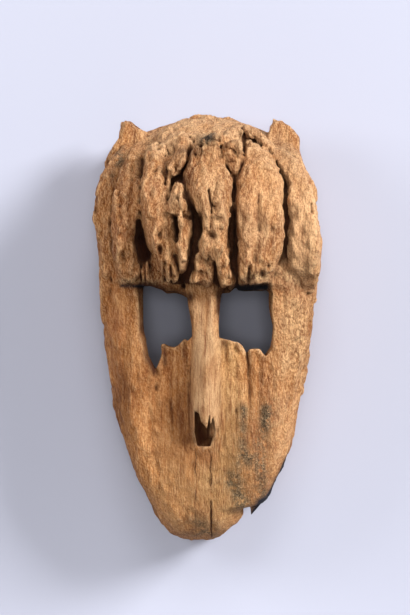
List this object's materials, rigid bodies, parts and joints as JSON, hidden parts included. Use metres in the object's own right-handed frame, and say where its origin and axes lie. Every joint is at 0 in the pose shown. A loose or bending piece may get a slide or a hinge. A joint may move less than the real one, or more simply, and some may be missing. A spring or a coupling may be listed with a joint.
{
  "type": "wooden face mask",
  "caption": "Weathered hollow wooden face mask with a heavy grooved brow over open eye holes, a long nose ridge and a narrow chin.",
  "frame": {"origin": "middle of the bounding box at the level of the back rim that it lies on", "axes": "+Z out of the face, away from the wearer; +Y from the chin to the crown; +X to the right as one looks at the face"},
  "size_m": [0.2018, 0.384, 0.166],
  "materials": {
    "weathered_wood": "raw, deeply weathered, matt"
  },
  "bodies": {
    "root": {"mask": "weathered_wood"}
  },
  "joints": []
}
